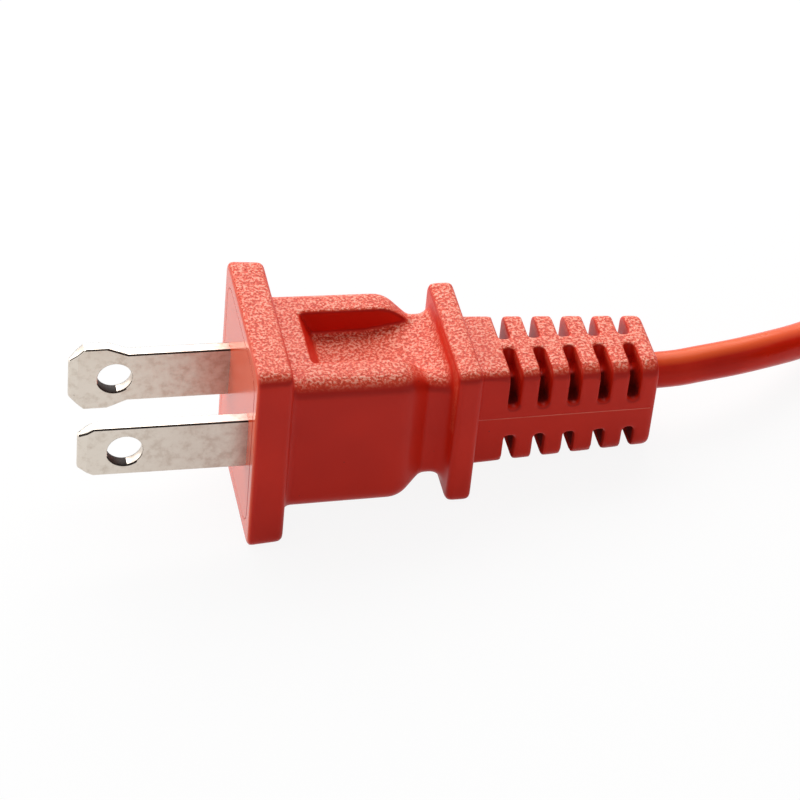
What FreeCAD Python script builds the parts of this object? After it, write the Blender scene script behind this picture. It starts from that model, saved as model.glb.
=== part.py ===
# Type A mains plug, moulded onto a round two-core cord.
# Every plug piece is drawn along the plug's own axis: +X runs from the front face towards the cord,
# X = 0 is the front face, the blades stand in -X, Z = 0 is the plane through both blades.
# The finished plug is then laid down as it rests: on the lower edges of its two flanges, blades up a little.
import FreeCAD, Part
import math
import os

import Sketcher

SIZES = {
    # front flange, the plate that meets the socket
    "flange_width": 22.4,
    "flange_height": 24.1,
    "flange_depth": 4.05,
    "flange_corner": 1.6,
    "flange_draft": 4.0,
    "flange_edge": 0.75,
    "flange_rim": 0.45,
    # grip, from the flange to the shoulder
    "grip_width": 17.8,
    "grip_height": 17.6,
    "grip_end_width": 17.5,
    "grip_end_height": 17.3,
    "grip_corner": 2.1,
    "grip_root": 0.9,
    "shoulder_place": 17.3,
    "shoulder_round": 3.2,
    # waist between the shoulder and the collar
    "waist_place": 19.9,
    "waist_width": 13.7,
    "waist_height": 13.5,
    "waist_corner": 1.7,
    "waist_round": 1.3,
    "collar_root": 1.5,
    # collar, the small flange behind the waist
    "collar_place": 22.6,
    "collar_depth": 2.85,
    "collar_width": 18.1,
    "collar_height": 18.1,
    "collar_corner": 1.3,
    "collar_edge": 0.65,
    # thumb recess in the top of the grip
    "recess_width": 9.0,
    "recess_place": 7.0,
    "recess_slope": 1.7,
    "recess_floor": 5.6,
    "recess_ramp": 14.4,
    # strain relief: a block, then rings between four slots a row
    "relief_width": 11.6,
    "relief_height": 13.0,
    "relief_end_width": 10.75,
    "relief_end_height": 12.15,
    "relief_corner": 1.0,
    "relief_end_corner": 2.1,
    "block_length": 3.95,
    "ring_count": 5,
    "ring_depth": 2.15,
    "slot_gap": 1.32,
    "slot_core_width": 6.2,
    "slot_core_height": 7.8,
    "top_bridge": 1.7,
    "side_bridge": 3.9,
    "side_bridge_drop": 0.5,
    "relief_edge": 0.7,
    # blades
    "blade_spacing": 12.7,
    "blade_thick": 1.42,
    "blade_width": 6.35,
    "live_reach": 18.5,
    "neutral_reach": 18.0,
    "head_width": 8.3,
    "head_length": 4.3,
    "head_slope": 2.3,
    "tip_run": 1.7,
    "tip_drop": 1.0,
    "tip_bevel": 0.4,
    "tip_bevel_run": 1.0,
    "hole_width": 3.9,
    "hole_from_tip": 5.15,
    "shank_length": 4.4,
    "tail_width": 3.2,
    "tail_end": 7.6,
    "barrel_width": 2.7,
    "barrel_start": 7.3,
    "barrel_end": 11.6,
    # carrier, the stiff inner moulding that holds both blades
    "plate_width": 18.4,
    "plate_height": 20.2,
    "plate_depth": 1.6,
    "plate_corner": 2.2,
    "carrier_width": 15.9,
    "carrier_height": 8.4,
    "carrier_depth": 6.0,
    "carrier_window": 6.0,
    # cores inside the plug
    "conductor_width": 1.0,
    "insulation_width": 1.8,
    "strip_length": 1.1,
    "fan_start": 15.0,
    "fan_end": 22.0,
    "core_pitch": 1.84,
    # cord
    "cord_width": 4.15,
    "cord_rise": 1.25,
    "jacket_place": 26.4,
    # put-away hank of the unseen length: long turns with a round fold at each end
    "hank_run": 62.0,
    "hank_fold": 12.0,
    "hank_columns": 2,
    "hank_layers": 4,
    "hank_inset": 0.15,
    "hank_start": 81.2,
    "hank_side": -7.4,
    "hank_lead": 14.0,
    "tail_start": 6.0,
    "tail_turn": 20.0,
    "tail_lead": 12.4,
    "tie_thick": 0.6,
    "tie_width": 5.0,
    # stripped far end
    "bare_core": 14.0,
    "bare_wire": 6.0,
}

# Every sketch starts from this rough outline, and its constraints then pull it to the sheet's sizes.
START_HALF = 10.0
START_CORNER = 2.0

# The loose stretch of cord, chosen by hand, after its exit from the strain relief (mm, floor at Z = 0).
LEAD_ROUTE = [
    (38.67, 0.35, 6.96),
    (43.18, 1.28, 6.28),
    (47.66, 2.93, 5.28),
    (51.88, 5.41, 3.59),
    (56.63, 7.54, 2.84),
]
LEAD_START = 3.2
LEAD_END = 5.2

# The tail after the hank, on the floor inside its turns.
TAIL_ROUTE = [
    (105.43, -2.03, 2.675),
    (113.35, -3.9, 2.675),
    (121.84, -4.9, 2.675),
    (129.3, -5.2, 2.2),
]

doc = FreeCAD.newDocument("TypeAPlug")
V = FreeCAD.Vector
X_AXIS = V(1, 0, 0)
Y_AXIS = V(0, 1, 0)
Z_AXIS = V(0, 0, 1)


def make_sheet():
    sheet = doc.addObject("Spreadsheet::Sheet", "Sizes")
    for row, (name, value) in enumerate(SIZES.items(), start=1):
        sheet.set(f"A{row}", name)
        sheet.set(f"B{row}", str(value))
        sheet.setAlias(f"B{row}", name)
    doc.recompute()
    return sheet


sizes = make_sheet()


def size(name):
    return float(sizes.get(name))


def derived(name, expression):
    # a size worked out from the driving ones, kept in the sheet under its own name
    row = derived.row
    derived.row += 1
    sizes.set(f"A{row}", name)
    sizes.set(f"B{row}", "=" + expression)
    sizes.setAlias(f"B{row}", name)
    doc.recompute()


derived.row = len(SIZES) + 2
derived("collar_rear", "collar_place + collar_depth")
derived("slot_pitch", "slot_gap + ring_depth")
derived("block_rear", "collar_rear + block_length")
derived("relief_rear", "block_rear + ring_count * slot_pitch")
derived("blade_half", "blade_spacing / 2")
derived("core_half", "core_pitch / 2")
derived("insulation_start", "barrel_end + strip_length")
derived("hank_width", "hank_columns * cord_width")
derived("hank_height", "hank_layers * cord_width")


# Sketch and feature helpers


def new_body(name):
    body = doc.addObject("PartDesign::Body", name)
    body.Label = name
    return body


def origin_plane(body, role):
    return next(item for item in body.Origin.OriginFeatures if item.Role == role)


def new_sketch(body, name, role, place=None):
    sketch = body.newObject("Sketcher::SketchObject", name)
    sketch.AttachmentSupport = [(origin_plane(body, role), "")]
    sketch.MapMode = "FlatFace"
    if place:
        sketch.setExpression("AttachmentOffset.Base.z", place)
    return sketch


def drive(sketch, index, name, expression):
    # name a constraint and tie it to the sheet
    sketch.renameConstraint(index, name)
    sketch.setExpression(f"Constraints.{name}", expression)


def rounded_rectangle(body, name, place, width, height, corner):
    # a rounded rectangle across the plug's axis, centred on it, in the plane X = place
    sketch = new_sketch(body, name, "YZ_Plane", place)
    a, b, r = START_HALF, START_HALF, START_CORNER
    ends = [(-a + r, -b), (a - r, -b), (a, -b + r), (a, b - r), (a - r, b), (-a + r, b), (-a, b - r), (-a, -b + r)]
    for side in range(4):
        start = V(*ends[2 * side], 0)
        end = V(*ends[2 * side + 1], 0)
        sketch.addGeometry(Part.LineSegment(start, end), False)
    centres = [(a - r, -b + r), (a - r, b - r), (-a + r, b - r), (-a + r, -b + r)]
    for turn, centre in enumerate(centres, start=-1):
        circle = Part.Circle(V(*centre, 0), Z_AXIS, r)
        arc = Part.ArcOfCircle(circle, math.radians(90 * turn), math.radians(90 * turn + 90))
        sketch.addGeometry(arc, False)
    for side in range(4):
        sketch.addConstraint(Sketcher.Constraint("Tangent", side, 2, 4 + side, 1))
        sketch.addConstraint(Sketcher.Constraint("Tangent", 4 + side, 2, (side + 1) % 4, 1))
    for side, kind in enumerate(("Horizontal", "Vertical", "Horizontal", "Vertical")):
        sketch.addConstraint(Sketcher.Constraint(kind, side))
    for arc in (5, 6, 7):
        sketch.addConstraint(Sketcher.Constraint("Equal", 4, arc))
    sketch.addConstraint(Sketcher.Constraint("Symmetric", 0, 1, 2, 1, -1, 1))
    drive(sketch, sketch.addConstraint(Sketcher.Constraint("DistanceX", 3, 1, 1, 1, 2 * a)), "width", width)
    drive(sketch, sketch.addConstraint(Sketcher.Constraint("DistanceY", 0, 1, 2, 1, 2 * b)), "height", height)
    drive(sketch, sketch.addConstraint(Sketcher.Constraint("Radius", 4, r)), "corner", corner)
    return sketch


def polygon(sketch, corners, label="p"):
    # a closed outline whose corners are pairs of expressions, measured from the sketch's origin
    first = sketch.GeometryCount
    count = len(corners)
    turn = 2 * math.pi / count
    spots = [(START_HALF * math.cos(turn * k), START_HALF * math.sin(turn * k)) for k in range(count)]
    for k in range(count):
        here = spots[k]
        there = spots[(k + 1) % count]
        sketch.addGeometry(Part.LineSegment(V(*here, 0), V(*there, 0)), False)
    for k in range(count):
        line = first + k
        after = first + (k + 1) % count
        sketch.addConstraint(Sketcher.Constraint("Coincident", line, 2, after, 1))
        across = Sketcher.Constraint("DistanceX", -1, 1, line, 1, spots[k][0])
        drive(sketch, sketch.addConstraint(across), f"{label}x{k}", corners[k][0])
        up = Sketcher.Constraint("DistanceY", -1, 1, line, 1, spots[k][1])
        drive(sketch, sketch.addConstraint(up), f"{label}y{k}", corners[k][1])


def circle(sketch, across, up, width):
    # a circle whose centre is given by expressions, or by None where it lies on that axis
    index = sketch.addGeometry(Part.Circle(V(START_HALF, START_HALF, 0), Z_AXIS, START_CORNER), False)
    for kind, axis, name, rule in (("DistanceX", -2, "across", across), ("DistanceY", -1, "up", up)):
        if rule is None:
            sketch.addConstraint(Sketcher.Constraint("PointOnObject", index, 3, axis))
        else:
            place = Sketcher.Constraint(kind, -1, 1, index, 3, START_HALF)
            drive(sketch, sketch.addConstraint(place), name, rule)
    drive(sketch, sketch.addConstraint(Sketcher.Constraint("Diameter", index, 2 * START_CORNER)), "width", width)


def feature(body, kind, name, sketch, length=None, **settings):
    made = body.newObject(f"PartDesign::{kind}", name)
    made.Profile = sketch
    if length:
        made.setExpression("Length", length)
    for key, setting in settings.items():
        setattr(made, key, setting)
    doc.recompute()
    return made


def loft(body, name, start, end):
    made = body.newObject("PartDesign::AdditiveLoft", name)
    made.Profile = start
    made.Sections = [end]
    made.Ruled = True
    doc.recompute()
    return made


def round_edges(body, name, radius, wanted):
    # a fillet on the edges of the body's present shape for which wanted(edge) is true
    base = body.Tip
    names = [f"Edge{k}" for k, edge in enumerate(base.Shape.Edges, start=1) if wanted(edge)]
    made = body.newObject("PartDesign::Fillet", name)
    made.Base = (base, names)
    made.setExpression("Radius", radius)
    doc.recompute()
    return made


def across_at(place, slack=0.02):
    # true for an edge that lies in the plane X = place
    def wanted(edge):
        box = edge.BoundBox
        return abs(box.XMin - place) < slack and abs(box.XMax - place) < slack
    return wanted


def inside(edge, width, height):
    # true for an edge that lies within a rectangle of that width and height about the axis
    box = edge.BoundBox
    slack = 0.1
    reach_y = max(abs(box.YMin), abs(box.YMax))
    reach_z = max(abs(box.ZMin), abs(box.ZMax))
    return reach_y < width / 2 + slack and reach_z < height / 2 + slack


# The moulded body


def make_moulding():
    body = new_body("moulding")
    flange = rounded_rectangle(body, "flange_outline", None, "Sizes.flange_width", "Sizes.flange_height",
                               "Sizes.flange_corner")
    plate = feature(body, "Pad", "flange", flange, "Sizes.flange_depth")
    plate.setExpression("TaperAngle", "-Sizes.flange_draft")
    doc.recompute()
    rear = size("flange_depth")
    round_edges(body, "flange_edges", "Sizes.flange_edge", across_at(rear))
    round_edges(body, "flange_rim", "Sizes.flange_rim", across_at(0))

    grip_start = rounded_rectangle(body, "grip_start", "Sizes.flange_depth - Sizes.flange_edge / 2",
                                   "Sizes.grip_width", "Sizes.grip_height", "Sizes.grip_corner")
    grip_end = rounded_rectangle(body, "grip_end", "Sizes.shoulder_place", "Sizes.grip_end_width",
                                 "Sizes.grip_end_height", "Sizes.grip_corner")
    loft(body, "grip", grip_start, grip_end)
    shoulder = rounded_rectangle(body, "shoulder_start", "Sizes.shoulder_place", "Sizes.grip_end_width",
                                 "Sizes.grip_end_height", "Sizes.grip_corner")
    waist_start = rounded_rectangle(body, "waist_start", "Sizes.waist_place", "Sizes.waist_width",
                                    "Sizes.waist_height", "Sizes.waist_corner")
    loft(body, "shoulder", shoulder, waist_start)
    waist = rounded_rectangle(body, "waist_outline", "Sizes.waist_place", "Sizes.waist_width",
                              "Sizes.waist_height", "Sizes.waist_corner")
    feature(body, "Pad", "waist", waist, "Sizes.collar_place - Sizes.waist_place")
    collar = rounded_rectangle(body, "collar_outline", "Sizes.collar_place", "Sizes.collar_width",
                               "Sizes.collar_height", "Sizes.collar_corner")
    feature(body, "Pad", "collar", collar, "Sizes.collar_depth")

    def meets_flange(edge):
        return across_at(rear)(edge) and inside(edge, size("grip_width"), size("grip_height"))

    def meets_collar(edge):
        return across_at(size("collar_place"))(edge) and inside(edge, size("waist_width"), size("waist_height"))

    def collar_rim(edge):
        at_front = across_at(size("collar_place"))(edge) and not meets_collar(edge)
        return at_front or across_at(size("collar_rear"))(edge)

    round_edges(body, "shoulder_edges", "Sizes.shoulder_round", across_at(size("shoulder_place")))
    round_edges(body, "grip_root", "Sizes.grip_root", meets_flange)
    round_edges(body, "waist_edges", "Sizes.waist_round", across_at(size("waist_place")))
    round_edges(body, "collar_root", "Sizes.collar_root", meets_collar)
    round_edges(body, "collar_rim", "Sizes.collar_edge", collar_rim)
    add_recess(body)
    add_relief(body)
    return body


def add_recess(body):
    # a ramp at the front, a flat floor, then a gentle rise to the waist
    side = new_sketch(body, "recess_side", "XZ_Plane")
    polygon(side, [
        ("Sizes.recess_place", "Sizes.grip_height / 2"),
        ("Sizes.recess_place + Sizes.recess_slope", "Sizes.recess_floor"),
        ("Sizes.recess_ramp", "Sizes.recess_floor"),
        ("Sizes.waist_place + Sizes.waist_round", "Sizes.waist_height / 2"),
        ("Sizes.waist_place + Sizes.waist_round", "Sizes.grip_height"),
        ("Sizes.recess_place", "Sizes.grip_height"),
    ])
    feature(body, "Pocket", "recess", side, "Sizes.recess_width", Midplane=True)


def add_relief(body):
    start = rounded_rectangle(body, "relief_start", "Sizes.collar_rear", "Sizes.relief_width",
                              "Sizes.relief_height", "Sizes.relief_corner")
    end = rounded_rectangle(body, "relief_end", "Sizes.relief_rear", "Sizes.relief_end_width",
                            "Sizes.relief_end_height", "Sizes.relief_end_corner")
    loft(body, "relief", start, end)
    round_edges(body, "relief_edge", "Sizes.relief_edge", across_at(size("relief_rear")))
    # four L-shaped slots, one round each corner, leave a core and a bridge on every side
    slots = new_sketch(body, "slot_outline", "YZ_Plane", "Sizes.block_rear")
    for turn, (across, up) in enumerate((("", ""), ("-", ""), ("-", "-"), ("", "-"))):
        reach_y = f"{across}Sizes.relief_width"
        reach_z = f"{up}Sizes.relief_height"
        bridge = f"{up}Sizes.side_bridge / 2 - Sizes.side_bridge_drop"
        polygon(slots, [
            (f"{across}Sizes.top_bridge / 2", f"{up}Sizes.slot_core_height / 2"),
            (f"{across}Sizes.slot_core_width / 2", f"{up}Sizes.slot_core_height / 2"),
            (f"{across}Sizes.slot_core_width / 2", bridge),
            (reach_y, bridge),
            (reach_y, reach_z),
            (f"{across}Sizes.top_bridge / 2", reach_z),
        ], label=f"q{turn}")
    first = feature(body, "Pocket", "slots", slots, "Sizes.slot_gap", Reversed=True)
    row = body.newObject("PartDesign::LinearPattern", "slot_rows")
    row.Originals = [first]
    row.Direction = (slots, ["N_Axis"])
    row.setExpression("Length", "Sizes.slot_pitch * (Sizes.ring_count - 1)")
    row.setExpression("Occurrences", "Sizes.ring_count")
    body.Tip = row
    doc.recompute()


# Blades


def make_blade(name, side, reach, wide):
    # side is "-" for the near blade and "" for the far one; a wide blade has a broader head at its tip
    body = new_body(name)
    outline = new_sketch(body, f"{name}_outline", "XZ_Plane")
    half = "Sizes.blade_width / 2"
    top = [
        (f"-{reach}", f"{half} - Sizes.tip_drop"),
        (f"-{reach} + Sizes.tip_run", half),
    ]
    if wide:
        head = "Sizes.head_width / 2"
        top = [
            (f"-{reach}", f"{head} - Sizes.tip_run"),
            (f"-{reach} + Sizes.tip_run", head),
            (f"-{reach} + Sizes.head_length", head),
            (f"-{reach} + Sizes.head_length + Sizes.head_slope", half),
        ]
    top += [
        ("Sizes.shank_length", half),
        ("Sizes.shank_length", "Sizes.tail_width / 2"),
        ("Sizes.tail_end", "Sizes.tail_width / 2"),
    ]
    bottom = [(x, f"-({y})") for x, y in reversed(top)]
    polygon(outline, top + bottom)
    outline.setExpression("AttachmentOffset.Base.z", f"-({side}Sizes.blade_half)")
    feature(body, "Pad", f"{name}_strip", outline, "Sizes.blade_thick", Midplane=True)
    bore = new_sketch(body, f"{name}_bore", "XZ_Plane")
    bore.setExpression("AttachmentOffset.Base.z", f"-({side}Sizes.blade_half)")
    circle(bore, f"-{reach} + Sizes.hole_from_tip", None, "Sizes.hole_width")
    feature(body, "Pocket", f"{name}_hole", bore, "Sizes.blade_thick * 2", Midplane=True)
    bevel_tip(body, name, side, reach)
    barrel = new_sketch(body, f"{name}_barrel_outline", "YZ_Plane", "Sizes.barrel_start")
    circle(barrel, f"{side}Sizes.blade_half", None, "Sizes.barrel_width")
    feature(body, "Pad", f"{name}_barrel", barrel, "Sizes.barrel_end - Sizes.barrel_start")
    crimp = new_sketch(body, f"{name}_crimp_outline", "YZ_Plane", "Sizes.tail_end")
    circle(crimp, f"{side}Sizes.blade_half", None, "Sizes.conductor_width")
    feature(body, "Pocket", f"{name}_crimp", crimp, "Sizes.barrel_end - Sizes.tail_end", Reversed=True)
    return body


def bevel_tip(body, name, side, reach):
    # the coined lead-in on both faces of the tip
    bevel = new_sketch(body, f"{name}_bevel_outline", "XY_Plane")
    for face in ("+", "-"):
        def beyond(distance):
            return f"{side}Sizes.blade_half {face} ({distance})"
        polygon(bevel, [
            (f"-{reach}", beyond("Sizes.blade_thick / 2 - Sizes.tip_bevel")),
            (f"-{reach} + Sizes.tip_bevel_run", beyond("Sizes.blade_thick / 2")),
            (f"-{reach} + Sizes.tip_bevel_run", beyond("Sizes.blade_thick")),
            (f"-{reach} - Sizes.tip_bevel_run", beyond("Sizes.blade_thick")),
        ], label="near" if face == "-" else "far")
    feature(body, "Pocket", f"{name}_bevel", bevel, "Sizes.head_width * 2", Midplane=True)


# Carrier


def make_carrier_blank():
    body = new_body("carrier_blank")
    plate = rounded_rectangle(body, "plate_outline", None, "Sizes.plate_width", "Sizes.plate_height",
                              "Sizes.plate_corner")
    feature(body, "Pad", "plate", plate, "Sizes.plate_depth")
    block = rounded_rectangle(body, "block_outline", None, "Sizes.carrier_width", "Sizes.carrier_height",
                              "Sizes.blade_thick / 2")
    feature(body, "Pad", "block", block, "Sizes.carrier_depth")
    # a window between the blades, which the outer moulding fills and so locks the carrier
    window = rounded_rectangle(body, "window_outline", "Sizes.plate_depth", "Sizes.carrier_window",
                               "Sizes.carrier_height * 2", "Sizes.blade_thick / 2")
    feature(body, "Pocket", "window", window, "Sizes.carrier_depth", Reversed=True)
    return body


# Cores inside the plug


def arc_path(points):
    # straight runs joined by tangent arcs; each arc is as large as its two runs allow
    runs = [points[k + 1] - points[k] for k in range(len(points) - 1)]
    start = points[0]
    edges = []
    radii = []
    for k in range(1, len(points) - 1):
        before = V(runs[k - 1]).normalize()
        after = V(runs[k]).normalize()
        turn = before.getAngle(after)
        shorter = min(runs[k - 1].Length, runs[k].Length)
        trim = 0.45 * shorter
        radii.append(trim / math.tan(turn / 2))
        arc_start = points[k] - before * trim
        arc_end = points[k] + after * trim
        centre_way = (after - before).normalize()
        centre = points[k] + centre_way * (trim / math.sin(turn / 2))
        middle = centre - centre_way * radii[-1]
        edges.append(Part.LineSegment(start, arc_start).toShape())
        edges.append(Part.Arc(arc_start, middle, arc_end).toShape())
        start = arc_end
    edges.append(Part.LineSegment(start, points[-1]).toShape())
    return Part.Wire(edges), radii


def tube(points, width):
    path, radii = arc_path(points)
    way = (points[1] - points[0]).normalize()
    ring = Part.Wire([Part.Circle(points[0], way, width / 2).toShape()])
    solid = path.makePipeShell([ring], True, False)
    if solid.Volume < 0:
        solid.reverse()
    ideal = math.pi * width ** 2 / 4 * path.Length
    return solid, path.Length, radii, solid.Volume / ideal


def shape_feature(name, shape, placement=None):
    made = doc.addObject("Part::Feature", name)
    made.Label = name
    made.Shape = shape
    if placement:
        made.Placement = placement
    return made


def fan_points(side, start):
    # from a blade's crimp to the jacket, in the plug's own frame
    wide = side * size("blade_half")
    close = side * size("core_half")
    rise = size("cord_rise")
    return [
        V(start, wide, 0),
        V(size("fan_start"), wide, 0),
        V(size("fan_end"), close, rise),
        V(size("jacket_place"), close, rise),
    ]


def make_inner_core(tag, side):
    wire, _, radii, _ = tube(fan_points(side, size("tail_end")), size("conductor_width"))
    sleeve, _, _, _ = tube(fan_points(side, size("insulation_start")), size("insulation_width"))
    print(f"{tag} core: bend radii", [round(r, 1) for r in radii])
    conductor = shape_feature(f"conductor_{tag}", wire)
    insulation = shape_feature(f"insulation_{tag}", sleeve.cut(wire))
    return conductor, insulation


def make_jacket_root():
    body = new_body("jacket_root")
    outline = new_sketch(body, "jacket_outline", "YZ_Plane", "Sizes.jacket_place")
    circle(outline, None, "Sizes.cord_rise", "Sizes.cord_width")
    feature(body, "Pad", "jacket", outline, "Sizes.relief_rear - Sizes.jacket_place")
    return body


# Assembly of the plug in its own frame


def cut(name, base, *tools):
    made = doc.addObject("Part::Cut", name)
    made.Label = name
    made.Base = base
    if len(tools) == 1:
        made.Tool = tools[0]
    else:
        joined = doc.addObject("Part::MultiFuse", f"{name}_room")
        joined.Shapes = list(tools)
        made.Tool = joined
    doc.recompute()
    return made


def rest_angle():
    # nose-up lean when the plug lies on the lower rear edges of its flange and its collar
    flange_low = size("flange_height") / 2 - size("flange_depth") * math.tan(math.radians(size("flange_draft")))
    collar_low = size("collar_height") / 2
    return math.degrees(math.atan2(flange_low - collar_low, size("collar_rear") - size("flange_depth")))


def rest_placement(pieces):
    turn = FreeCAD.Rotation(Y_AXIS, rest_angle())
    solids = []
    for piece in pieces:
        copy = piece.Shape.copy()
        copy.Placement = FreeCAD.Placement(V(0, 0, 0), turn).multiply(copy.Placement)
        solids.append(copy)
    box = Part.makeCompound(solids).optimalBoundingBox(False)
    shift = V(-(box.XMin + box.XMax) / 2, 0, -box.ZMin)
    return FreeCAD.Placement(shift, turn)


moulding = make_moulding()
blade_live = make_blade("blade_live", "-", "Sizes.live_reach", wide=False)
blade_neutral = make_blade("blade_neutral", "", "Sizes.neutral_reach", wide=True)
carrier_blank = make_carrier_blank()
conductor_live, insulation_live = make_inner_core("live", -1)
conductor_neutral, insulation_neutral = make_inner_core("neutral", 1)
jacket_root = make_jacket_root()
blade_carrier = cut("blade_carrier", carrier_blank, blade_live, blade_neutral)
inner = [blade_carrier, blade_live, blade_neutral, conductor_live, conductor_neutral, insulation_live,
         insulation_neutral, jacket_root]
plug_body = cut("plug_body", moulding, *inner)
plug_pieces = [plug_body] + inner
laid = rest_placement(plug_pieces)
for drawn in (moulding, carrier_blank, *inner[1:]):
    drawn.Placement = laid
doc.recompute()


# Cord, hank and far end, in the frame in which the plug lies


def make_cord():
    way = laid.Rotation.multVec(X_AXIS)
    leave = laid.multVec(V(size("relief_rear"), 0, size("cord_rise")))
    first = leave + way * LEAD_START
    join = hank_join()
    last = join - X_AXIS * LEAD_END
    points = [leave, first] + [V(*spot) for spot in LEAD_ROUTE] + [last, join]
    solid, length, radii, share = tube(points, size("cord_width"))
    print("cord run", round(length, 1), "mm, radii", [round(r, 1) for r in radii], "volume share", round(share, 4))
    print("cord route", [tuple(round(c, 2) for c in p) for p in points])
    return shape_feature("cord_run", solid)


def hank_corner():
    # where the first turn starts: the centre of its fold nearest the plug, at the height of the lowest turn
    return V(size("hank_start"), size("hank_side"), size("tie_thick") + size("cord_width") / 2)


def hank_join():
    # where the loose cord meets the lead of the hank's outermost turn
    outermost = size("hank_fold") + size("hank_width") - size("cord_width")
    return hank_corner() + V(-size("hank_lead"), outermost, 0)


def tail_way():
    turn = math.radians(size("tail_turn"))
    return V(math.cos(turn), -math.sin(turn), 0)


def hank_outline(radius, low, tall):
    # a solid with straight sides and a half-round end at each fold
    run = size("hank_run")
    corner = hank_corner()
    near = Part.makeCylinder(radius, tall, V(corner.x, corner.y, low))
    far = Part.makeCylinder(radius, tall, V(corner.x + run, corner.y, low))
    middle = Part.makeBox(run, 2 * radius, tall, V(corner.x, corner.y - radius, low))
    return near.fuse([far, middle]).removeSplitter()


def make_hank():
    # all the turns as one ring, a little inside the cord's outermost lines, and a lead at each end of the cord
    inset = size("hank_inset")
    inner = size("hank_fold") - size("cord_width") / 2
    outer = inner + size("hank_width")
    tall = size("hank_height") - 2 * inset
    low = size("tie_thick") + inset
    ring = hank_outline(outer - inset, low, tall).cut(hank_outline(inner + inset, low, tall))
    radius = size("cord_width") / 2
    lead = Part.makeCylinder(radius, size("hank_lead"), hank_join(), X_AXIS)
    leaves = hank_corner() + V(size("tail_start"), size("hank_fold"), 0)
    tail = Part.makeCylinder(radius, size("tail_lead"), leaves, tail_way())
    hank = ring.fuse([lead, tail]).removeSplitter()
    return shape_feature("cord_hank", hank.Solids[0])


def make_tie():
    # a flat strap round both runs of the hank, halfway along it
    strap = size("tie_thick")
    reach = size("hank_fold") + size("hank_width") - size("cord_width") / 2 - size("hank_inset")
    tall = size("hank_height") + strap
    middle = hank_corner() + V(size("hank_run") / 2 - size("tie_width") / 2, 0, 0)
    band = Part.makeBox(size("tie_width"), 2 * (reach + strap), tall + strap, V(middle.x, middle.y - reach - strap, 0))
    room = Part.makeBox(size("tie_width"), 2 * reach, tall - strap - size("hank_inset"),
                        V(middle.x, middle.y - reach, strap))
    return shape_feature("hank_tie", band.cut(room))


def make_tail():
    leave = hank_corner() + V(size("tail_start"), size("hank_fold"), 0) + tail_way() * size("tail_lead")
    points = [leave] + [V(*spot) for spot in TAIL_ROUTE]
    solid, length, radii, share = tube(points, size("cord_width"))
    print("tail run", round(length, 1), "mm, radii", [round(r, 1) for r in radii], "volume share", round(share, 4))
    print("tail starts", tuple(round(c, 2) for c in leave))
    return shape_feature("cord_tail", solid), points


def make_far_core(tag, side, points):
    # a straight core beyond the jacket, its last length stripped
    end = points[-1]
    way = (end - points[-2]).normalize()
    across = V(-way.y, way.x, 0) * (side * size("core_half"))
    start = end + across
    bare_start = start + way * size("bare_core")
    wire_length = size("bare_core") + size("bare_wire")
    wire = Part.makeCylinder(size("conductor_width") / 2, wire_length, start, way)
    sleeve = Part.makeCylinder(size("insulation_width") / 2, size("bare_core"), start, way).cut(wire)
    print(f"far {tag} core bare from", tuple(round(c, 2) for c in bare_start))
    return shape_feature(f"far_insulation_{tag}", sleeve), shape_feature(f"far_conductor_{tag}", wire)


cord_run = make_cord()
cord_hank = make_hank()
hank_tie = make_tie()
cord_tail, tail_points = make_tail()
far_pieces = [*make_far_core("live", -1, tail_points), *make_far_core("neutral", 1, tail_points)]


# Check and write


def export_all(pieces):
    for item in doc.Objects:
        if any(word in item.State for word in ("Invalid", "Error")):
            raise RuntimeError(f"{item.Label} failed: {item.State}")
    os.makedirs("parts", exist_ok=True)
    for piece in pieces:
        shape = piece.Shape
        if shape.isNull() or not shape.isValid():
            raise RuntimeError(f"{piece.Label} has no valid shape")
        shape.exportStep(f"parts/{piece.Label}.step")
        box = shape.BoundBox
        print(f"{piece.Label:22s} solids {len(shape.Solids)}  volume {shape.Volume:9.2f}  "
              f"X {box.XMin:7.2f} {box.XMax:7.2f}  Y {box.YMin:7.2f} {box.YMax:7.2f}  Z {box.ZMin:6.2f} {box.ZMax:6.2f}")


print("rest angle", round(rest_angle(), 3), "placement", laid.Base)
export_all(plug_pieces + [cord_run, cord_hank, hank_tie, cord_tail] + far_pieces)
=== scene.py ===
# Two-pin mains plug of red moulded PVC on a round cord: camera, light, finish and small detail round the
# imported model. Lengths are metres unless a name ends in Mm; X runs from the blades to the cord, Z is up from the floor.
import bpy
import math
from mathutils import Matrix, Vector


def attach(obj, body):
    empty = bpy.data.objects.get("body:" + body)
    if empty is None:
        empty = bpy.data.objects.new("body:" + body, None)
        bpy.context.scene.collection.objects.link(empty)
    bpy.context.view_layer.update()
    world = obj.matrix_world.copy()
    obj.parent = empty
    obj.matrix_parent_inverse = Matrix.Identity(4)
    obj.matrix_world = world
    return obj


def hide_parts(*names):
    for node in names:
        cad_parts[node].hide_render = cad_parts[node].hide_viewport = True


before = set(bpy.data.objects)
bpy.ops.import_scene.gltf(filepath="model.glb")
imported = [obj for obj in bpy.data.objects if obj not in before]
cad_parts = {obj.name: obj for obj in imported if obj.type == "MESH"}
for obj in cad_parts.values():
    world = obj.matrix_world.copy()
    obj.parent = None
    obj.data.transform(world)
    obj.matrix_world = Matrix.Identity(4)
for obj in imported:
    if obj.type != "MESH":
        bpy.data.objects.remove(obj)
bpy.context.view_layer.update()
scene = bpy.context.scene
scene.view_settings.view_transform = "Standard"

# how the plug lies: its own axis leans up towards the blades, turned about Y and then shifted
plugLie = {"leanDeg": 7.235, "shiftMm": (-14.218, 0.0, 12.145)}
lieTurn = Matrix.Rotation(math.radians(plugLie["leanDeg"]), 3, "Y")


def mm(*place):
    return Vector([value / 1000 for value in place])


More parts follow.
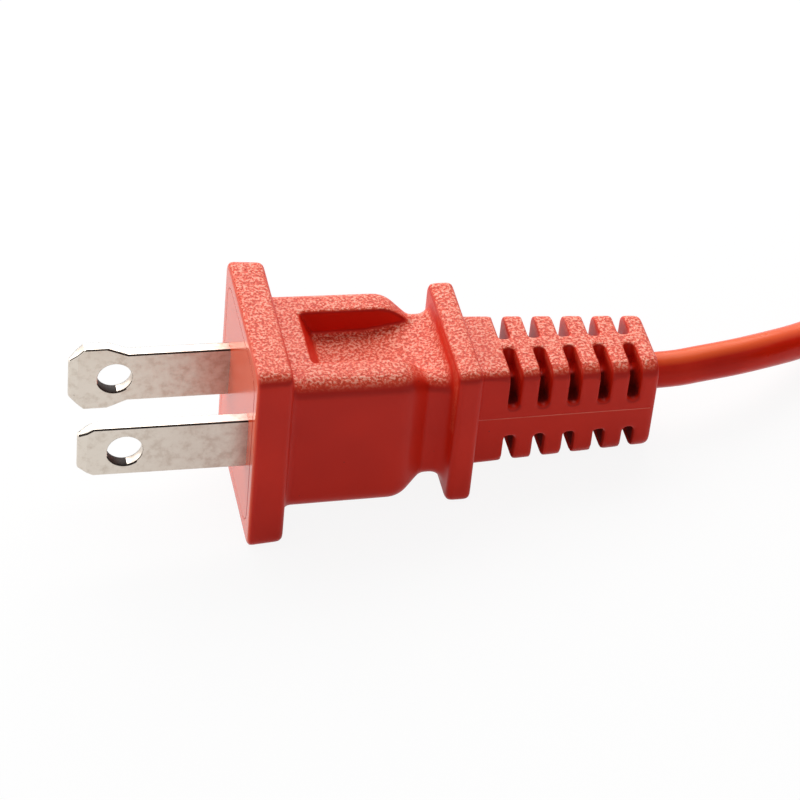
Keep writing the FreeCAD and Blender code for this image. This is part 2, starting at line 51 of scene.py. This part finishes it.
def onPlug(*place):
    # a point in the plug's own frame (mm along its axis, across, up) to the world
    return lieTurn @ mm(*place) + mm(*plugLie["shiftMm"])


def wayOnPlug(*way):
    return (lieTurn @ Vector(way)).normalized()


# camera, matched to the photograph; its angles are the plug's own
photoCamera = {"aimMm": (10.0, 0.0, 0.0), "azimuthDeg": 14.856, "elevationDeg": 38.241, "rollDeg": 5.901,
               "slideMm": (-8.269, 0.207), "distanceMm": 354.652, "lens": 143.378, "sensor": 36.0,
               "clipStart": 0.01}


def makeCamera():
    data = bpy.data.cameras.new("photoCamera")
    data.lens = photoCamera["lens"]
    data.sensor_width = photoCamera["sensor"]
    data.clip_start = photoCamera["clipStart"]
    camera = bpy.data.objects.new("photoCamera", data)
    scene.collection.objects.link(camera)
    az, el, roll = (math.radians(photoCamera[key]) for key in ("azimuthDeg", "elevationDeg", "rollDeg"))
    forward = Vector((math.sin(az) * math.cos(el), math.cos(az) * math.cos(el), -math.sin(el)))
    level = Vector((math.cos(az), -math.sin(az), 0))
    right = level * math.cos(roll) + level.cross(forward) * math.sin(roll)
    up = right.cross(forward)
    slideX, slideY = photoCamera["slideMm"]
    spot = Vector(photoCamera["aimMm"]) - right * slideX - up * slideY - forward * photoCamera["distanceMm"]
    turn = Matrix([wayOnPlug(*axis) for axis in (right, up, -forward)]).transposed()
    camera.matrix_world = Matrix.Translation(onPlug(*spot)) @ turn.to_4x4()
    scene.camera = camera


makeCamera()
print("stage: camera")

# cord: one round flexible cord, from the strain relief to its stripped end, put away as a tied hank
cordRoute = {
    "diameter": 0.00415,
    "exitPlugMm": (46.75, 0.0, 1.25),
    "startRunMm": 3.2,
    "pointRadius": 0.002,   # a point's radius widens the curve's box, so it is small and the bevel makes up for it
    "alongSteps": 4,
    "roundSteps": 6,
    "lead": [(0.03867, 0.00035, 0.00696), (0.04318, 0.00128, 0.00628), (0.04766, 0.00293, 0.00528),
             (0.05188, 0.00541, 0.00359), (0.05663, 0.00754, 0.00284), (0.062, 0.00875, 0.002675)],
    "tail": [(0.10543, -0.00203, 0.002675), (0.11335, -0.0039, 0.002675), (0.12184, -0.0049, 0.002675),
             (0.1293, -0.0052, 0.0022)],
}
hank = {"start": (0.0812, -0.0074), "run": 0.062, "fold": 0.012, "layers": 4, "floorGap": 0.0006, "lead": 0.014,
        "foldSteps": 9, "runSteps": 4, "tailStart": 0.006, "tailTurnDeg": 20.0, "tailLead": 0.0124}


def hankPlace(along, radius, height):
    # a point on a turn: along runs from 0 to 4 as far run, far fold, near run and near fold
    startX, startY = hank["start"]
    side = int(along) % 4
    share = along - int(along)
    angle = math.pi / 2 - math.pi * share
    # a spline of order 3 runs a little inside its points, so the folds are drawn a little wider
    widen = 1 / (0.75 + 0.25 * math.cos(math.pi / hank["foldSteps"]))
    grown = radius * (widen if 0 < share < 1 else 1)
    if side == 0:
        return Vector((startX + hank["run"] * share, startY + radius, height))
    if side == 1:
        return Vector((startX + hank["run"] + grown * math.cos(angle), startY + grown * math.sin(angle), height))
    if side == 2:
        return Vector((startX + hank["run"] * (1 - share), startY - radius, height))
    return Vector((startX - grown * math.cos(angle), startY - grown * math.sin(angle), height))


def hankPoints():
    # the outer column is wound upwards and the inner one down again; each step up or in is made on the near run
    pitch = cordRoute["diameter"]
    layers = list(range(hank["layers"]))
    order = [(1, layer) for layer in layers] + [(0, layer) for layer in reversed(layers)]
    stops = [k / hank["runSteps"] for k in range(hank["runSteps"])]
    bends = [1 + k / hank["foldSteps"] for k in range(hank["foldSteps"])]
    turn = stops + bends + [2 + stop for stop in stops] + [2 + bend for bend in bends]
    points = []
    for (column, layer), after in zip(order, order[1:] + order[-1:]):
        for along in turn:
            blend = min(1.0, max(0.0, along - 2))
            radius = hank["fold"] + pitch * (column + (after[0] - column) * blend)
            height = hank["floorGap"] + pitch * (0.5 + layer + (after[1] - layer) * blend)
            points.append(hankPlace(along, radius, height))
    return points


def cordPoints():
    leave = onPlug(*cordRoute["exitPlugMm"])
    first = leave + wayOnPlug(1, 0, 0) * cordRoute["startRunMm"] / 1000
    turns = hankPoints()
    join = turns[0] - Vector((hank["lead"], 0, 0))
    angle = math.radians(hank["tailTurnDeg"])
    last = hankPlace(0, hank["fold"], turns[0].z)
    leaves = last + Vector((hank["tailStart"], 0, 0))
    clear = leaves + Vector((math.cos(angle), -math.sin(angle), 0)) * hank["tailLead"]
    lead = [Vector(place) for place in cordRoute["lead"]]
    tail = [Vector(place) for place in cordRoute["tail"]]
    return [leave, first] + lead + [join] + turns + [last, leaves, clear] + tail


def makeCord():
    points = cordPoints()
    data = bpy.data.curves.new("mainsCord", "CURVE")
    data.dimensions = "3D"
    line = data.splines.new("NURBS")
    line.points.add(len(points) - 1)
    for spot, place in zip(line.points, points):
        spot.co = (*place, 1)
        spot.radius = cordRoute["pointRadius"]
    line.order_u = 3
    line.use_endpoint_u = True
    line.resolution_u = cordRoute["alongSteps"]
    data.bevel_depth = cordRoute["diameter"] / 2 / cordRoute["pointRadius"]
    data.bevel_resolution = cordRoute["roundSteps"]
    data.use_fill_caps = True
    cord = bpy.data.objects.new("mainsCord", data)
    scene.collection.objects.link(cord)
    print("cord points", len(points))
    return cord, points


mainsCord, cordLine = makeCord()
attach(mainsCord, "root")
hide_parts("cord_run", "cord_hank", "cord_tail")
print("stage: cord")


def plugToWorld():
    return Matrix.Translation(mm(*plugLie["shiftMm"])) @ lieTurn.to_4x4()


def settled(piece):
    # the piece with its modifiers applied, as a plain mesh
    bpy.context.view_layer.update()
    view = piece.evaluated_get(bpy.context.evaluated_depsgraph_get())
    mesh = bpy.data.meshes.new_from_object(view)
    bpy.data.objects.remove(piece)
    return mesh


def placed(name, mesh, slot, *nodes):
    # a finished mesh, drawn in the plug's own frame, put where the plug lies
    mesh.transform(plugToWorld())
    mesh.materials.clear()
    piece = bpy.data.objects.new(name, mesh)
    scene.collection.objects.link(piece)
    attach(piece, "root")
    if nodes:
        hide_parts(*nodes)
    return piece


def copyOnPlug(node):
    # a loose copy of a node's mesh, turned into the plug's own frame
    mesh = bpy.data.objects[node].data.copy()
    mesh.transform(plugToWorld().inverted())
    piece = bpy.data.objects.new(node + "Copy", mesh)
    scene.collection.objects.link(piece)
    return piece


# moulding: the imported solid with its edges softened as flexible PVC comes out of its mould
moulding = {"grid": 0.00026, "softenSteps": 4, "softenShare": 0.5,
            "lip": 0.00022, "lipAcross": 0.0104, "lipUp": 0.0112, "lipShare": 0.25}


def makeMoulding():
    piece = copyOnPlug("plug_body")
    grid = piece.modifiers.new("grid", "REMESH")
    grid.mode = "VOXEL"
    grid.voxel_size = moulding["grid"]
    grid.use_smooth_shade = True
    soften = piece.modifiers.new("soften", "SMOOTH")
    soften.iterations = moulding["softenSteps"]
    soften.factor = moulding["softenShare"]
    mesh = settled(piece)
    for point in mesh.vertices:
        # the seam round the carrier's plate is hardly open, so its lip goes nearly back to the front face
        along, across, up = point.co
        if along < moulding["lip"] and abs(across) < moulding["lipAcross"] and abs(up) < moulding["lipUp"]:
            point.co.x *= moulding["lipShare"]
    return placed("mouldedBody", mesh, "body_pvc", "plug_body")


mouldedBody = makeMoulding()
print("stage: moulding", len(mouldedBody.data.polygons))

# blades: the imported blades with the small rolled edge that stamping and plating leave
bladeEdge = {"weld": 0.000002, "flatDeg": 1.0, "width": 0.00016, "segments": 2, "sharpDeg": 35.0}


def makeBlade(name, node):
    piece = copyOnPlug(node)
    weld = piece.modifiers.new("weld", "WELD")
    weld.merge_threshold = bladeEdge["weld"]
    flat = piece.modifiers.new("flat", "DECIMATE")   # slivers of the CAD mesh would stop the bevel
    flat.decimate_type = "DISSOLVE"
    flat.angle_limit = math.radians(bladeEdge["flatDeg"])
    roll = piece.modifiers.new("roll", "BEVEL")
    roll.use_clamp_overlap = False
    roll.width = bladeEdge["width"]
    roll.segments = bladeEdge["segments"]
    roll.limit_method = "ANGLE"
    roll.angle_limit = math.radians(bladeEdge["sharpDeg"])
    roll.harden_normals = True
    return placed(name, settled(piece), "blade_metal", node)


liveBlade = makeBlade("liveBlade", "blade_live")
neutralBlade = makeBlade("neutralBlade", "blade_neutral")
print("stage: blades", len(liveBlade.data.polygons), len(neutralBlade.data.polygons))

# parting line: the hair of flash where the two halves of the mould met, on both sides of the strain relief
partingLine = {"fromMm": 25.6, "toMm": 46.1, "halfAtStartMm": 5.78, "halfAtEndMm": 5.38, "heightMm": 0.2,
               "proudMm": 0.03, "sunkMm": 0.3, "widthMm": 0.11}


def makePartingLine():
    points, faces = [], []
    wide = partingLine["widthMm"] / 2
    low, top = partingLine["heightMm"] - wide, partingLine["heightMm"] + wide
    for side in (-1, 1):
        base = len(points)
        for along, half in ((partingLine["fromMm"], partingLine["halfAtStartMm"]),
                            (partingLine["toMm"], partingLine["halfAtEndMm"])):
            inner, outer = side * (half - partingLine["sunkMm"]), side * (half + partingLine["proudMm"])
            points += [mm(along, inner, low), mm(along, inner, top), mm(along, outer, top), mm(along, outer, low)]
        ring = [(0, 1, 5, 4), (1, 2, 6, 5), (2, 3, 7, 6), (3, 0, 4, 7), (3, 2, 1, 0), (4, 5, 6, 7)]
        ring = ring if side > 0 else [face[::-1] for face in ring]
        faces += [[base + k for k in face] for face in ring]
    mesh = bpy.data.meshes.new("partingLine")
    mesh.from_pydata(points, [], faces)
    return placed("partingLine", mesh, "body_pvc")


makePartingLine()


# shader nodes, and the patterns and masks that the finishes are made of
def linear(hexColour):
    # an sRGB hex value as the linear colour that the shader wants
    channels = [int(hexColour[k:k + 2], 16) / 255 for k in (1, 3, 5)]
    return tuple(c / 12.92 if c <= 0.04045 else ((c + 0.055) / 1.055) ** 2.4 for c in channels) + (1.0,)


def addNode(tree, kind, values=None, **settings):
    # a node with its settings; values go to its inputs, a socket links and anything else is a default
    node = tree.nodes.new(kind)
    for key, value in settings.items():
        setattr(node, key, value)
    for key, value in (values or {}).items():
        if isinstance(value, bpy.types.NodeSocket):
            tree.links.new(value, node.inputs[key])
        else:
            node.inputs[key].default_value = value
    return node


def newMaterial(name):
    material = bpy.data.materials.new(name)
    material.use_nodes = True
    material.node_tree.nodes.clear()
    return material, material.node_tree


def close(tree, shader):
    addNode(tree, "ShaderNodeOutputMaterial", {"Surface": shader.outputs[0]})


def noise(tree, place, sizeMm, detail, roughness=0.5):
    # a cloudy pattern whose blotches are about sizeMm across
    return addNode(tree, "ShaderNodeTexNoise", {"Vector": place, "Scale": 1000 / sizeMm, "Detail": detail,
                                                "Roughness": roughness}).outputs[0]


def dots(tree, place, sizeMm, channel):
    # cells about sizeMm across: the distance from each one's middle, and a number of its own
    cells = addNode(tree, "ShaderNodeTexVoronoi", {"Vector": place, "Scale": 1000 / sizeMm})
    luck = addNode(tree, "ShaderNodeSeparateXYZ", {0: cells.outputs["Color"]}).outputs[channel]
    return cells.outputs["Distance"], luck


def band(tree, source, low, high, lowValue=0.0, highValue=1.0):
    # lowValue at low, highValue at high, evenly between the two and level beyond them
    values = {0: source, 1: low, 2: high, 3: lowValue, 4: highValue}
    return addNode(tree, "ShaderNodeMapRange", values).outputs[0]


def maths(tree, operation, first, second=0.0):
    return addNode(tree, "ShaderNodeMath", {0: first, 1: second}, operation=operation).outputs[0]


def product(tree, first, *others):
    for other in others:
        first = maths(tree, "MULTIPLY", first, other)
    return first


def without(tree, mask):
    return maths(tree, "SUBTRACT", 1.0, mask)


def mixColour(tree, share, first, second):
    return addNode(tree, "ShaderNodeMix", {0: share, 6: first, 7: second}, data_type="RGBA").outputs[2]


def objectPlace(tree):
    return addNode(tree, "ShaderNodeTexCoord").outputs["Object"]


def faceNormal(tree):
    # the X, Y and Z of the way a face looks
    geometry = addNode(tree, "ShaderNodeNewGeometry")
    return addNode(tree, "ShaderNodeSeparateXYZ", {0: geometry.outputs["Normal"]}).outputs


def alongPlug(tree, place, way):
    # distance in metres along one of the plug's own axes, from its front face
    shifted = addNode(tree, "ShaderNodeVectorMath", {0: place, 1: onPlug(0, 0, 0)}, operation="SUBTRACT")
    dot = addNode(tree, "ShaderNodeVectorMath", {0: shifted.outputs[0], 1: wayOnPlug(*way)},
                  operation="DOT_PRODUCT")
    return dot.outputs["Value"]


# red moulding: each pair is where a pattern, a tilt or a place starts to count and where it counts in full
# colours: base and deep are the moulding's own red and speck is dirt; the rest are painted light and shade: a
# painted sheen on the tops, a painted grazing reflection on the front face, painted shade below the near edges, in
# the grain and in the slots, and painted glints on the grain
redPvc = {
    "base": "#DA2812", "deep": "#CA200C", "top": "#EC5436", "front": "#E5502B", "shade": "#9A0E06",
    "paintedSlotShade": "#5E0604", "lit": "#FFB49C", "speck": "#4A1410",
    "roughness": 0.4, "frontRoughness": 0.2, "hollowRoughness": 1.0, "specular": 0.18, "ior": 1.53,
    "cloudMm": 14.0, "cloudDetail": 2.0, "cloud": (0.35, 0.65),
    "grainMm": 0.3, "grainDetail": 2.0, "grainRoughness": 0.6, "grainHeight": 0.00018, "smoothShare": 0.03,
    "gap": (0.48, 0.38), "gapShare": 0.48, "spark": (0.49, 0.6), "litShare": 0.85,
    "shadeShare": 0.5, "hollowShare": 0.85, "lowerShadeShare": 0.3,
    "speckMm": 1.3, "speckLuck": (0.9, 0.92), "frontLuck": 0.2, "speckSize": (0.07, 0.045), "speckShare": 0.7,
}
redTilt = {"forward": (-0.5, -0.97), "top": (0.48, 0.88), "raised": 0.62, "underFrom": (0.12, 0.32),
           "underTo": (0.75, 0.45), "near": (-0.35, -0.7)}
redPlace = {"frontFace": (0.0015, 0.0008), "behindFlange": (0.005, 0.006), "upperHalf": (-0.001, 0.001),
            "lowerHalf": (0.001, -0.001), "reliefStart": (0.0272, 0.0276), "reliefEnd": (0.0459, 0.0455),
            "slotHeight": (0.0054, 0.005), "openGap": (0.002, 0.0035), "slotMouth": (0.0051, 0.0046),
            "slotFloor": (0.0027, 0.003)}


def redMasks(tree, place):
    # where the painted light and shade lie: the front face with its painted grazing reflection, the grained tops
    # with their painted sheen, the band of painted shade below the near edges, and the painted shade in the slots
    # and on the lower walls of the relief
    normalX, normalY, normalZ = faceNormal(tree)
    along, across, above = (alongPlug(tree, place, way) for way in ((1, 0, 0), (0, 1, 0), (0, 0, 1)))
    across, offMiddle = maths(tree, "ABSOLUTE", across), maths(tree, "ABSOLUTE", above)
    forward = band(tree, normalX, *redTilt["forward"])
    # front: the front face, painted a lighter orange as a painted grazing reflection; it also takes a smoother
    # roughness and more dirt specks
    front = product(tree, forward, band(tree, along, *redPlace["frontFace"]))
    raised = product(tree, forward, band(tree, above, *redPlace["upperHalf"]),
                     band(tree, along, *redPlace["behindFlange"], 0.0, redTilt["raised"]))
    inRelief = product(tree, band(tree, along, *redPlace["reliefStart"]),
                       band(tree, along, *redPlace["reliefEnd"]))
    slots = product(tree, inRelief, band(tree, offMiddle, *redPlace["slotHeight"]))
    # upward: the tops; they take the grain's bump, and the top colour paints them lighter as a painted sheen where
    # the light falls
    upward = product(tree, band(tree, maths(tree, "MAXIMUM", normalZ, raised), *redTilt["top"]),
                     without(tree, slots))
    # painted shade: a band on the near faces just below their top edges, where the rounded edge turns from the
    # light
    under = product(tree, band(tree, normalZ, *redTilt["underFrom"]), band(tree, normalZ, *redTilt["underTo"]),
                    band(tree, normalY, *redTilt["near"]))
    # lit: forward faces in the upper gap, which light reaches, so they take no painted shade
    lit = product(tree, forward, band(tree, above, *redPlace["openGap"]))
    # painted shade in the slots of the strain relief, nearly black, but not on the faces the light reaches
    paintedSlotShade = product(tree, slots, without(tree, lit), band(tree, across, *redPlace["slotMouth"]),
                     band(tree, across, *redPlace["slotFloor"]))
    # painted shade on the forward-looking faces in the lower half of the relief, which also take a matt roughness
    # against their haze
    paintedLowerShade = product(tree, inRelief, forward, band(tree, above, *redPlace["lowerHalf"]))
    return front, upward, under, paintedSlotShade, paintedLowerShade


def makeRedPvc():
    # flexible PVC from a spark-eroded mould: the top faces are grained, painted a lighter orange as a painted
    # sheen, and dotted with painted glints and painted shade where light rakes over the grain;
    # the sides came off a smoother part of the mould and stay an even deep red but for a band of painted shade
    # below their near top edges, the front face is painted a lighter orange as a painted grazing reflection, and
    # the slots are painted nearly black with painted shade
    material, tree = newMaterial("redMouldedPvc")
    place = objectPlace(tree)
    front, upward, under, paintedSlotShade, paintedLowerShade = redMasks(tree, place)
    cloud = noise(tree, place, redPvc["cloudMm"], redPvc["cloudDetail"])
    grain = noise(tree, place, redPvc["grainMm"], redPvc["grainDetail"], redPvc["grainRoughness"])
    # painted shade in the grain: the shade colour on its lowest parts, on the tops only
    grainPitShade = product(tree, band(tree, grain, *redPvc["gap"], 0.0, redPvc["gapShare"]), upward)
    # painted glints: the lit colour on the highest grain of the tops, a painted highlight where the light catches
    # the grain
    paintedGlint = product(tree, band(tree, grain, *redPvc["spark"], 0.0, redPvc["litShare"]), upward, upward)
    # painted shade: the slots and the lower walls of the relief take the dark colour
    paintedShade = maths(tree, "MAXIMUM", product(tree, paintedSlotShade, redPvc["hollowShare"]),
                product(tree, paintedLowerShade, redPvc["lowerShadeShare"]))
    distance, luck = dots(tree, place, redPvc["speckMm"], 0)
    luck = maths(tree, "ADD", luck, product(tree, front, redPvc["frontLuck"]))
    speck = product(tree, band(tree, distance, *redPvc["speckSize"]), band(tree, luck, *redPvc["speckLuck"]),
                    redPvc["speckShare"])
    colour = mixColour(tree, band(tree, cloud, *redPvc["cloud"]), linear(redPvc["deep"]), linear(redPvc["base"]))
    for share, key in ((upward, "top"), (front, "front"), (product(tree, under, redPvc["shadeShare"]), "shade"),
                       (grainPitShade, "shade"), (paintedGlint, "lit"), (paintedShade, "paintedSlotShade"), (speck, "speck")):
        colour = mixColour(tree, share, colour, linear(redPvc[key]))
    bump = addNode(tree, "ShaderNodeBump", {
        "Height": grain, "Distance": redPvc["grainHeight"],
        "Strength": band(tree, upward, 0.0, 1.0, redPvc["smoothShare"], 1.0)})
    matt = product(tree, maths(tree, "MAXIMUM", paintedSlotShade, paintedLowerShade), redPvc["hollowRoughness"])
    rough = band(tree, front, 0.0, 1.0, redPvc["roughness"], redPvc["frontRoughness"])
    shader = addNode(tree, "ShaderNodeBsdfPrincipled", {
        "Base Color": colour, "Normal": bump.outputs["Normal"], "Roughness": maths(tree, "MAXIMUM", rough, matt),
        "IOR": redPvc["ior"], "Specular IOR Level": redPvc["specular"]})
    close(tree, shader)
    return material


nickel = {
    "base": "#DCD2C6", "stain": "#A89684", "pit": "#4E4038",
    "roughness": 0.34, "smoother": 0.04, "rougher": 0.14, "roughBand": (0.3, 0.75),
    "stainMm": 1.1, "stainDetail": 6.0, "stainRoughness": 0.65, "stainBand": (0.5, 0.78), "stainShare": 0.5,
    "pitMm": 0.75, "pitLuck": (0.7, 0.75), "pitSize": (0.16, 0.08), "pitShare": 0.65,
    "brushMm": 0.12, "brushDetail": 2.0, "brushHeight": 0.000012, "brushStrength": 0.6,
    "tintBand": (0.3, 0.6), "tintLeast": 0.6,
}
bladeTint = {
    "nickelPlatedBrass": {"colour": "#A07C70", "share": 0.55, "fromMm": 15.0},
    "tarnishedNickelPlate": {"colour": "#A8705A", "share": 0.65, "fromMm": 13.0},
}


def makeNickel(name):
    # nickel-plated stamped brass: warm grey, faintly brushed, with tarnish clouds, pits and a warmer root
    material, tree = newMaterial(name)
    place = objectPlace(tree)
    tint = bladeTint[name]
    cloud = noise(tree, place, nickel["stainMm"], nickel["stainDetail"], nickel["stainRoughness"])
    grain = noise(tree, place, nickel["brushMm"], nickel["brushDetail"])
    stained = band(tree, cloud, *nickel["stainBand"], 0.0, nickel["stainShare"])
    root = band(tree, alongPlug(tree, place, (1, 0, 0)), -tint["fromMm"] / 1000, 0.0, 0.0, tint["share"])
    uneven = product(tree, root, band(tree, cloud, *nickel["tintBand"], nickel["tintLeast"], 1.0))
    distance, luck = dots(tree, place, nickel["pitMm"], 1)
    pit = product(tree, band(tree, distance, *nickel["pitSize"]), band(tree, luck, *nickel["pitLuck"]),
                  nickel["pitShare"])
    colour = mixColour(tree, stained, linear(nickel["base"]), linear(nickel["stain"]))
    colour = mixColour(tree, uneven, colour, linear(tint["colour"]))
    colour = mixColour(tree, pit, colour, linear(nickel["pit"]))
    rough = band(tree, cloud, *nickel["roughBand"], nickel["roughness"] - nickel["smoother"],
                 nickel["roughness"] + nickel["rougher"])
    bump = addNode(tree, "ShaderNodeBump", {"Height": grain, "Distance": nickel["brushHeight"],
                                            "Strength": nickel["brushStrength"]})
    shader = addNode(tree, "ShaderNodeBsdfPrincipled", {
        "Base Color": colour, "Metallic": 1.0, "Roughness": rough, "Normal": bump.outputs["Normal"]})
    close(tree, shader)
    return material


drift = {"detail": 3.0, "colourBand": (0.35, 0.7), "roughBand": (0.3, 0.7), "smoother": 0.04, "rougher": 0.05,
         "litTilt": (0.72, 1.0)}
smoothFinishes = {
    # extruded jacket: glossy and even, with a painted orange highlight on its top where the light falls
    "extrudedCordPvc": {"colour": "#D62810", "dark": "#C41E0A", "lit": "#F0642E", "roughness": 0.3, "driftMm": 5.0,
                        "specular": 0.13},
    # flash of the moulding: thin, so it reads paler than the wall that it stands on
    "partingFlashPvc": {"colour": "#E86450", "dark": "#DC4A38", "roughness": 0.4, "driftMm": 2.0},
    # core insulation: plain extruded PVC, a soft even sheen
    "blackCorePvc": {"colour": "#1B1B1C", "dark": "#111112", "roughness": 0.34, "driftMm": 2.0},
    "whiteCorePvc": {"colour": "#E6E3DA", "dark": "#D9D5C9", "roughness": 0.36, "driftMm": 2.0},
    # drawn copper wire, bare in the crimps and tinned at the far end: warm and bright, grey and dull
    "bareCopper": {"colour": "#C08058", "dark": "#9A5C3C", "roughness": 0.3, "driftMm": 1.0, "metallic": 1.0},
    "tinnedCopper": {"colour": "#BDBAB4", "dark": "#9B9892", "roughness": 0.32, "driftMm": 1.0, "metallic": 1.0},
    # woven hook-and-loop strap: matt charcoal
    "blackTieStrap": {"colour": "#222224", "dark": "#161617", "roughness": 0.55, "driftMm": 0.6},
    # burr and dirt on the stamped edges: nearly black, without shine
    "darkStampedBurr": {"colour": "#30241E", "dark": "#1C1412", "roughness": 0.6, "driftMm": 1.5, "specular": 0.2},
}


def makeSmooth(name, colour, dark, roughness, driftMm, metallic=0.0, specular=0.5, lit=None):
    # a smooth extruded or drawn surface: one colour with a slight drift along it, painted paler on top as a
    # painted highlight where lit is given
    material, tree = newMaterial(name)
    shift = noise(tree, objectPlace(tree), driftMm, drift["detail"])
    shade = mixColour(tree, band(tree, shift, *drift["colourBand"]), linear(colour), linear(dark))
    if lit:
        # painted highlight: the faces that look up take the lit colour
        shade = mixColour(tree, band(tree, faceNormal(tree)[2], *drift["litTilt"]), shade, linear(lit))
    rough = band(tree, shift, *drift["roughBand"], roughness - drift["smoother"], roughness + drift["rougher"])
    shader = addNode(tree, "ShaderNodeBsdfPrincipled", {
        "Base Color": shade, "Metallic": metallic, "Specular IOR Level": specular, "Roughness": rough})
    close(tree, shader)
    return material


finishes = {"redMouldedPvc": makeRedPvc()}
finishes.update({name: makeNickel(name) for name in bladeTint})
finishes.update({name: makeSmooth(name, **values) for name, values in smoothFinishes.items()})
wornBy = {
    "redMouldedPvc": ("mouldedBody", "blade_carrier"),
    "nickelPlatedBrass": ("liveBlade",),
    "tarnishedNickelPlate": ("neutralBlade",),
    "partingFlashPvc": ("partingLine",),
    "extrudedCordPvc": ("mainsCord", "jacket_root"),
    "blackCorePvc": ("insulation_live", "far_insulation_live"),
    "whiteCorePvc": ("insulation_neutral", "far_insulation_neutral"),
    "bareCopper": ("conductor_live", "conductor_neutral"),
    "tinnedCopper": ("far_conductor_live", "far_conductor_neutral"),
    "blackTieStrap": ("hank_tie",),
}
for finishName, pieceNames in wornBy.items():
    for pieceName in pieceNames:
        dressed = bpy.data.objects[pieceName].data.materials
        dressed.clear()
        dressed.append(finishes[finishName])

# burr: the upper long edges of the blades and the lower walls of their holes, on the tip's side, are dark with it
burr = {"rolledTilt": 0.3, "wallUp": 0.1, "wallForward": -0.15, "flatTilt": 0.97, "holeMm": (-13.1, 0.0),
        "holeReachMm": 2.5}


def markBurr(blade):
    blade.data.materials.append(finishes["darkStampedBurr"])
    toPlug = plugToWorld().inverted()
    holeX, holeZ = burr["holeMm"]
    count = 0
    for face in blade.data.polygons:
        way = toPlug.to_3x3() @ face.normal
        place = (toPlug @ face.center) * 1000
        atHole = math.hypot(place.x - holeX, place.z - holeZ) < burr["holeReachMm"]
        rolled = way.z > burr["rolledTilt"] and abs(way.y) > burr["rolledTilt"]
        wall = atHole and way.z > burr["wallUp"] and way.x > burr["wallForward"]
        if (rolled or wall) and abs(way.y) < burr["flatTilt"] and place.x < 0:
            face.material_index = 1
            count += 1
    return count


print("stage: materials, burr faces", markBurr(liveBlade), markBurr(neutralBlade))

# studio: white floor, a large soft lamp behind and above, a weaker one before the blades, a weak even surround
studio = {"floorSize": 3.0, "floorWhite": "#F4F4F4", "surround": 0.3, "seenWhite": 0.9,
          "lampDistance": 0.6, "lampSize": 0.6}
lamps = {"backSoftbox": {"way": (0.15, 0.76, 0.72), "power": 4.3},
         "frontSoftbox": {"way": (-0.8, 0.35, 0.4), "power": 1.9}}


def seenRays(tree):
    # 1 for rays from the camera, and for those that metal or glass sends on
    rays = addNode(tree, "ShaderNodeLightPath").outputs
    mirrored = maths(tree, "MAXIMUM", rays["Is Glossy Ray"], rays["Is Transmission Ray"])
    return maths(tree, "MAXIMUM", rays["Is Camera Ray"], mirrored)


def makeFloor():
    mesh = bpy.data.meshes.new("studioFloor")
    half = studio["floorSize"] / 2
    corners = [(-half, -half, 0), (half, -half, 0), (half, half, 0), (-half, half, 0)]
    mesh.from_pydata(corners, [], [(0, 1, 2, 3)])
    floor = bpy.data.objects.new("studioFloor", mesh)
    scene.collection.objects.link(floor)
    material, tree = newMaterial("whiteSweep")
    lit = addNode(tree, "ShaderNodeBsdfDiffuse", {"Color": linear(studio["floorWhite"])})
    white = addNode(tree, "ShaderNodeEmission", {"Color": (1, 1, 1, 1), "Strength": 1.0})
    share = maths(tree, "MULTIPLY", seenRays(tree), studio["seenWhite"])
    mix = addNode(tree, "ShaderNodeMixShader", {0: share, 1: lit.outputs[0], 2: white.outputs[0]})
    close(tree, mix)
    mesh.materials.append(material)


def makeWorld():
    world = bpy.data.worlds.new("studioSurround")
    world.use_nodes = True
    tree = world.node_tree
    tree.nodes.clear()
    strength = band(tree, seenRays(tree), 0.0, 1.0, studio["surround"], 1.0)
    back = addNode(tree, "ShaderNodeBackground", {"Color": (1, 1, 1, 1), "Strength": strength})
    addNode(tree, "ShaderNodeOutputWorld", {"Surface": back.outputs[0]})
    scene.world = world


def makeLamp(name, way, power):
    data = bpy.data.lights.new(name, "AREA")
    data.shape = "SQUARE"
    data.size = studio["lampSize"]
    data.energy = power
    lamp = bpy.data.objects.new(name, data)
    scene.collection.objects.link(lamp)
    way = Vector(way).normalized()
    lamp.location = way * studio["lampDistance"]
    lamp.rotation_mode = "QUATERNION"
    lamp.rotation_quaternion = way.to_track_quat("Z", "Y")


makeFloor()
makeWorld()
for lampName, values in lamps.items():
    makeLamp(lampName, **values)
print("stage: studio")

bpy.context.view_layer.update()
